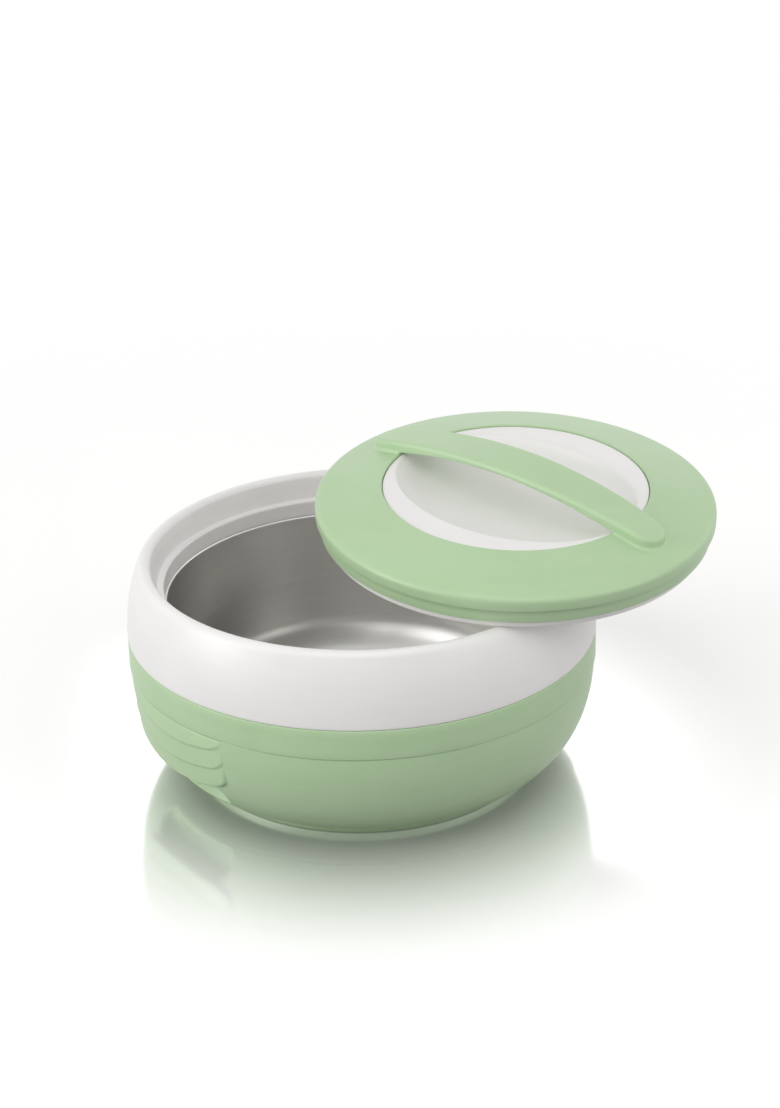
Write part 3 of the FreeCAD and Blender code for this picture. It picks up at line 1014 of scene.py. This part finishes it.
@dataclass
class LidCover:
    """Green lid cover: domed ring, stepped shoulder, skirt and the bridge handle."""

    opening: float = 67.0
    dome: float = 8.0
    radius: float = 100.6
    shoulder_round: float = 2.6
    shoulder_depth: float = 7.0
    skirt_radius: float = 98.9
    skirt_draft: float = 0.7
    skirt_depth: float = 14.0
    wall: float = 2.2
    edge_round: float = 0.7
    handle_length: float = 176.6
    handle_width: float = 26.0
    end_radius: float = 9.7
    crown: float = 13.7
    sag: float = 8.1
    sag_at: float = 70.0
    thickness: float = 3.7
    top_round: float = 2.2
    under_round: float = 1.0
    foot_fillet: float = 1.6

    def poles(self) -> np.ndarray:
        """Control points of the ring's upper side, from the opening out over the shoulder.

        Returns:
            Rows of radius and height.
        """
        slope = self.dome / (self.radius - self.shoulder_round - self.opening)
        top = self.shoulder_round * 0.25
        flat = self.radius - self.shoulder_round
        return np.array([(self.opening, self.dome), (self.opening + 11.0, self.dome - 8.8 * slope),
                         (flat - 8.0, top + 9.2 * slope), (flat, top),
                         (self.radius, -self.shoulder_round * 0.1),
                         (self.radius, -self.shoulder_round)])

    def ring(self, shop: Workshop, place: LidPlace) -> None:
        """Turns the ring's closed profile.

        Args:
            shop: makes the object.
            place: where the lid lies.
        """
        skin = self.poles()
        edge = self.edge_round
        skin[0] = (self.opening + edge, self.dome - 0.06)
        end = self.skirt_radius - self.skirt_draft
        under = inset(self.poles(), self.wall)
        inner = self.skirt_radius - self.wall
        under[0] = (self.opening, self.dome - self.wall - 0.05)
        under[3] = (inner - self.shoulder_round, under[3, 1])
        under[4] = (inner, under[4, 1])
        under[5] = (inner, -self.shoulder_depth)
        depth = -self.shoulder_depth
        profile = np.vstack([
            trace([(self.opening, self.dome - edge), (self.opening, self.dome), tuple(skin[0])],
                  "Q", 0.2),
            trace(skin, "CQ", 0.8),
            lines(tuple(skin[-1]), (self.radius, depth + 0.5), (self.radius - 0.5, depth),
                  (self.skirt_radius, depth), (end + 0.03, -self.skirt_depth + 0.3),
                  (end - 0.3, -self.skirt_depth), (end - self.wall, -self.skirt_depth),
                  (inner, depth)),
            trace(under[::-1], "QC", 2.0),
            lines(tuple(under[0]), (self.opening, self.dome - edge))])
        shop.piece("lid_ring", Skin(turn_grid(profile, even_angles(320))), Finish.GREEN, Body.LID,
                   "lid_cover", place)

    def outline(self, count: int = 520) -> np.ndarray:
        """The handle's outline seen from above: two long arcs and two round ends.

        Args:
            count: number of points, even along the outline's length.

        Returns:
            Rows of x and y, anticlockwise from the +X end's tip.
        """
        half, end = self.handle_width / 2.0, self.handle_length / 2.0 - self.end_radius
        side = (end ** 2 + half ** 2 - self.end_radius ** 2) / (2.0 * (half - self.end_radius))
        slope = math.atan2(side - half, end)
        tip = np.linspace(0.0, slope, 200)
        round_end = self.end_radius * np.stack([np.cos(tip), np.sin(tip)], 1) + (end, 0.0)
        arc = np.linspace(slope, math.pi / 2.0, 400)[1:]
        long_side = np.stack([side * np.cos(arc), side * np.sin(arc) - (side - half)], 1)
        fourth = np.vstack([round_end, long_side])
        upper = np.vstack([fourth, (fourth * (-1.0, 1.0))[::-1][1:]])
        loop = np.vstack([upper, (-upper)[1:]])
        run = np.concatenate([[0.0], np.cumsum(np.linalg.norm(np.diff(loop, axis=0), axis=1))])
        at = np.arange(count) * run[-1] / count
        return np.stack([np.interp(at, run, loop[:, 0]), np.interp(at, run, loop[:, 1])], 1)

    @staticmethod
    def arch(along: np.ndarray, crown: float, drop: float, reach: float) -> np.ndarray:
        """Height along a circle's arc with its top at crown, lower by drop at reach."""
        radius = (reach ** 2 + drop ** 2) / (2.0 * drop)
        return crown - radius + np.sqrt(radius ** 2 - along ** 2)

    def over(self, spots: np.ndarray) -> np.ndarray:
        """Height of the handle's top at rows of x and y."""
        return self.arch(spots[:, 0], self.dome + self.crown, self.sag, self.sag_at)

    def beneath(self, spots: np.ndarray) -> np.ndarray:
        """Height of the handle's underside at rows of x and y."""
        return self.arch(spots[:, 0], self.dome + self.crown - self.thickness,
                         self.crown - self.thickness, self.opening)

    def ground(self, spots: np.ndarray) -> np.ndarray:
        """Height of the domed ring at rows of x and y, read off its profile."""
        skin = trace(self.poles(), "CQ", 0.4)
        return np.interp(np.linalg.norm(spots, axis=1), skin[:, 0], skin[:, 1])

    def handle(self, shop: Workshop, place: LidPlace) -> None:
        """Carries a ring of points over the handle: top, round edge, side, foot fillet, underside.

        A ring lies at a distance inside or outside the outline, along the outline's own normal. Its
        height is the arch's, less a quarter circle near the edge. Over the opening the rings turn
        in under the arch; beyond it they flare out on the domed ring and close under its skin. The
        first and last rings fold on to the middle line, where their doubled points are merged.

        Args:
            shop: makes the object.
            place: where the lid lies.
        """
        line = self.outline()
        ahead = np.roll(line, -1, axis=0) - np.roll(line, 1, axis=0)
        normal = np.stack([ahead[:, 1], -ahead[:, 0]], 1) / np.linalg.norm(ahead, axis=1)[:, None]
        reach = self.handle_length / 2.0 - self.end_radius
        middle = np.stack([np.clip(line[:, 0] * 0.985, -reach, reach), np.zeros(len(line))], 1)
        foot = smooth((np.linalg.norm(line, axis=1) - self.opening + 0.5) / 2.5)[:, None]
        rings = []
        edge = line - normal * self.top_round
        for part in np.linspace(0.0, 1.0, 9):
            spot = middle + (edge - middle) * part
            rings.append(at_height(spot, self.over(spot)))
        for turn in quarter(9):
            spot = edge + normal * self.top_round * math.sin(turn)
            drop = self.top_round * (1.0 - math.cos(turn))
            rings.append(at_height(spot, self.over(spot) - drop))
        start = rings[-1][:, 2]
        bridge_low = np.minimum(self.beneath(line) + self.under_round, start - 0.3)
        fillet = np.minimum(self.foot_fillet, np.maximum(start - self.ground(line) - 0.3, 0.2))
        low = bridge_low + (self.ground(line) + fillet - bridge_low) * foot[:, 0]
        for part in np.linspace(0.0, 1.0, 5)[1:]:
            rings.append(at_height(line, start + (low - start) * part))
        for turn in quarter(7):
            inward = line - normal * self.under_round * (1.0 - math.cos(turn))
            bridge = at_height(inward, bridge_low - self.under_round * math.sin(turn))
            outward = line + normal * (fillet * (1.0 - math.cos(turn)))[:, None]
            sunk = self.ground(outward) + fillet * (1.0 - math.sin(turn)) - 0.12 * math.sin(turn)
            rings.append(bridge + (at_height(outward, sunk) - bridge) * foot)
        last = rings[-1]
        for part in np.linspace(0.0, 1.0, 7)[1:]:
            spot = last[:, :2] + (middle - last[:, :2]) * part
            hidden = np.maximum(self.ground(spot) - 1.0, 0.0)
            outside = np.linalg.norm(spot, axis=1) > self.opening
            height = np.where(outside, hidden, self.beneath(spot))
            height = last[:, 2] + (height - last[:, 2]) * min(part * 4.0, 1.0)
            rings.append(at_height(spot, height))
        shop.piece("bridge_handle", Skin(place.swing(np.stack(rings, 0)), Ends.FOLDED),
                   Finish.GREEN, Body.LID, "lid_cover", place)

    def build(self, shop: Workshop, place: LidPlace) -> None:
        """Makes the ring and the handle."""
        self.ring(shop, place)
        self.handle(shop, place)


@dataclass
class LidDish:
    """White dish in the ring's opening, with the oval finger recess under the handle."""

    opening: float = 67.0
    gap: float = 0.3
    top: float = 7.2
    wall: float = 1.8
    flange: float = 5.0
    flange_top: float = 4.27
    half_length: float = 64.5
    half_width: float = 50.0
    depth: float = 14.0
    soft: float = 0.014
    edge_round: float = 0.5

    def dip(self, spots: np.ndarray, beyond: float = 0.0) -> np.ndarray:
        """Depth of the recess: the root of 1 - q^2 at a share q of its oval, blurred at the edge.

        Args:
            spots: rows of x and y.
            beyond: how much wider the oval is than the recess.

        Returns:
            The depth at each spot.
        """
        share = np.hypot(spots[:, 0] / (self.half_length + beyond),
                         spots[:, 1] / (self.half_width + beyond))
        per_unit, reach = 1000, 60
        q = np.linspace(0.0, 1.4, 1401)
        plain = np.sqrt(np.maximum(1.0 - q ** 2, 0.0))
        kernel = np.exp(-0.5 * (np.arange(-reach, reach + 1) / (self.soft * per_unit)) ** 2)
        padded = np.concatenate([plain[reach:0:-1], plain, np.zeros(reach)])
        soft = np.convolve(padded, kernel / kernel.sum(), mode="same")[reach:reach + len(q)]
        return self.depth * np.interp(share, q, soft)

    def build(self, shop: Workshop, place: LidPlace) -> None:
        """Rings from the recess's middle out to the flange and back underneath.

        A point of a ring is a share of the way from the middle to the oval, and then from the oval
        to the round edge, at the same parameter angle.

        Args:
            shop: makes the object.
            place: where the lid lies.
        """
        angles = even_angles(300)
        circle = np.stack([np.cos(angles), np.sin(angles)], 1)
        oval = circle * (self.half_length, self.half_width)
        face, rim = self.opening - self.gap, self.opening + self.flange
        edge = circle * (face - self.edge_round)
        shares = np.concatenate([np.linspace(0.02, 0.85, 36), np.linspace(0.86, 1.0, 24)])
        spots = [oval * share for share in shares]
        spots += [oval + (edge - oval) * part for part in np.linspace(0.0, 1.0, 18)[1:]]
        rings = [at_height(spot, self.top - self.dip(spot)) for spot in spots]
        for turn in quarter(5):
            radius = face - self.edge_round + self.edge_round * math.sin(turn)
            height = self.top - self.edge_round + self.edge_round * math.cos(turn)
            rings.append(at_height(circle * radius, height))
        low = self.flange_top - self.wall
        for radius, height in lines((face, self.flange_top), (rim, self.flange_top), (rim, low),
                                    (face - 1.0, low)):
            rings.append(at_height(circle * radius, height))
        for part in np.linspace(1.0, 0.02, 40):
            spot = circle * (face - 1.0) * part
            under = self.top - self.wall - self.dip(spot, self.wall)
            rings.append(at_height(spot, np.minimum(under, low)))
        bottom = self.top - self.depth
        skin = Skin(place.swing(np.stack(rings, 0)), Ends.POLES,
                    ((0.0, 0.0, bottom), (0.0, 0.0, self.top - self.wall - self.depth)))
        shop.piece("dish_moulding", skin, Finish.WHITE, Body.LID, "lid_dish", place)


@dataclass
class LidLiner:
    """White pan under the lid that plugs into the steel bowl."""

    radius: float = 95.8
    depth: float = 18.5
    wall: float = 1.8
    corner: float = 2.0
    recess: float = 2.5
    recess_radius: float = 84.0
    tongue_top: float = -9.0
    hole: float = 7.0

    def build(self, shop: Workshop, place: LidPlace) -> None:
        """Turns the pan's closed profile round the filling hole.

        Args:
            shop: makes the object.
            place: where the lid lies.
        """
        foot, bend = -self.depth, self.corner * 0.45
        floor = foot + self.recess
        inner = self.radius - self.wall
        slope = self.recess_radius - self.recess
        profile = np.vstack([
            lines((self.hole, floor), (slope - 1.0, floor)),
            trace([(slope - 1.0, floor), (slope + 0.2, floor), (slope + 0.9, floor - 0.9),
                   (self.recess_radius - 0.9, foot + 0.9), (self.recess_radius, foot),
                   (self.recess_radius + 1.2, foot)], "QLQ", 0.5),
            lines((self.recess_radius + 1.2, foot), (self.radius - self.corner, foot)),
            trace([(self.radius - self.corner, foot), (self.radius - bend, foot),
                   (self.radius, foot + bend), (self.radius, foot + self.corner)], "C", 0.3),
            lines((self.radius, foot + self.corner), (self.radius, self.tongue_top),
                  (inner, self.tongue_top), (inner, foot + self.wall + self.corner),
                  (inner - self.corner, foot + self.wall),
                  (self.recess_radius + self.wall / 2.0, foot + self.wall),
                  (slope, floor + self.wall), (self.hole, floor + self.wall), (self.hole, floor))])
        shop.piece("liner_moulding", Skin(turn_grid(profile, even_angles(300))), Finish.WHITE,
                   Body.LID, "lid_liner", place)


# Studio

@dataclass(frozen=True)
class SoftBox:
    """A square soft light that faces the casserole."""

    name: str
    place: Point
    size: float
    power: float

    def build(self) -> None:
        """Hangs the light, with its place and size in metres and its power in watts."""
        data = bpy.data.lights.new(self.name, "AREA")
        data.size, data.energy = self.size, self.power
        lamp = bpy.data.objects.new(self.name, data)
        lamp.location = self.place
        aim = Vector((0.03, 0.0, 0.08)) - Vector(self.place)
        lamp.rotation_euler = aim.to_track_quat("-Z", "Y").to_euler()
        bpy.context.scene.collection.objects.link(lamp)


@dataclass
class Studio:
    """Plain pale floor, soft light and the photograph's camera."""

    distance: float = 1311.3
    elevation: float = 24.80
    roll: float = -0.0184
    target: Point = (14.91, 0.0, 110.49)
    lens: float = 84.48
    ambient: float = 0.52
    lamps: tuple[SoftBox, ...] = (
        SoftBox("key", (-1.8, -0.6, 0.5), 1.0, 14.2),
        SoftBox("key_above", (-1.5, -0.9, 1.2), 1.2, 5.2),
        SoftBox("front_above", (0.0, -1.2, 1.8), 1.2, 8.0),
        SoftBox("fill", (1.5, -0.9, 0.9), 1.2, 8.2),
        SoftBox("rim_right", (1.7, 0.7, 0.9), 1.2, 2.6),
        SoftBox("rim_back", (0.2, 2.0, 0.7), 1.2, 1.8))

    def camera(self) -> None:
        """Looks along +Y from above, turned by the roll about the line of sight."""
        angle = math.radians(self.elevation)
        forward = np.array([0.0, math.cos(angle), -math.sin(angle)])
        right, up = np.array([1.0, 0.0, 0.0]), np.array([0.0, math.sin(angle), math.cos(angle)])
        c, s = math.cos(self.roll), math.sin(self.roll)
        matrix = np.eye(4)
        matrix[:3, 0] = c * right + s * up
        matrix[:3, 1] = c * up - s * right
        matrix[:3, 2] = -forward
        matrix[:3, 3] = (np.array(self.target) - forward * self.distance) * MM
        data = bpy.data.cameras.new("camera")
        data.lens = self.lens
        data.sensor_width = 36.0
        data.clip_start, data.clip_end = 0.01, 50.0
        camera = bpy.data.objects.new("camera", data)
        bpy.context.scene.collection.objects.link(camera)
        camera.matrix_world = matrix.T.tolist()
        bpy.context.scene.camera = camera

    def world(self) -> None:
        """White for camera and mirror rays, a softer white as ambient light."""
        world = bpy.data.worlds.new("studio")
        world.use_nodes = True
        graph = Graph(world.node_tree)
        rays = graph.node("LightPath", {})
        camera, glossy, through = (Field(graph, rays.outputs[f"Is {kind} Ray"])
                                   for kind in ("Camera", "Glossy", "Transmission"))
        strength = (camera + glossy + through) * (1.0 - self.ambient) + self.ambient
        shade = graph.node("Background", {"Color": WHITE, "Strength": strength})
        graph.node("OutputWorld", {"Surface": shade.outputs[0]})
        bpy.context.scene.world = world

    def floor(self) -> None:
        """A large square on which the foot ring stands."""
        mesh = bpy.data.meshes.new("floor")
        half, low = 12.0, -0.00005
        ends = ((-half, -half), (half, -half), (half, half), (-half, half))
        mesh.from_pydata([(x, y, low) for x, y in ends], [], [[0, 1, 2, 3]])
        mesh.materials.append(PaleFloor().make())
        floor = bpy.data.objects.new("floor", mesh)
        bpy.context.scene.collection.objects.link(floor)

    def build(self) -> None:
        """Makes the floor, the world, the lamps and the camera."""
        self.floor()
        self.world()
        for lamp in self.lamps:
            lamp.build()
        self.camera()
        bpy.context.scene.view_settings.view_transform = "Standard"


def make_finishes() -> dict[Finish, bpy.types.Material]:
    """Makes one material for each finish.

    Returns:
        The materials by finish.
    """
    green = MouldedPlastic("sage_green_polypropylene", colour(0.455, 0.622, 0.378),
                           colour(0.425, 0.590, 0.350), 0.42, 0.10, 0.000006)
    white = MouldedPlastic("warm_white_polypropylene", colour(0.875, 0.858, 0.845),
                           colour(0.845, 0.828, 0.815), 0.38, 0.10, 0.000003)
    return {Finish.GREEN: green.make(), Finish.WHITE: white.make(),
            Finish.STEEL: SpunSteel().make(), Finish.FOAM: RigidFoam().make()}


def corners(box: Any) -> list[list[float]]:
    """Two corners as plain lists."""
    return [[float(value) for value in corner] for corner in box]


def main() -> None:
    """Builds base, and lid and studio."""
    logging.basicConfig(level=logging.INFO, format="%(name)s %(message)s")
    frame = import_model()
    shop = Workshop(make_finishes())
    place = LidPlace()
    OuterShell().build(shop)
    Collar().build(shop)
    SteelBowl().build(shop)
    shop.piece("base_plug", FillPlug(4.5, 2.6).skin(), Finish.GREEN, Body.BASE, "base_fill_plug")
    LidCover().build(shop, place)
    LidDish().build(shop, place)
    LidLiner().build(shop, place)
    shop.piece("lid_plug", FillPlug(-16.0, 1.8).skin(), Finish.WHITE, Body.LID, "lid_fill_plug",
               place)
    for name in ("base_insulation", "lid_insulation"):
        shop.dress_node(frame["nodes"][name], Finish.FOAM)
    Studio().build()


if __name__ == "__main__":
    main()
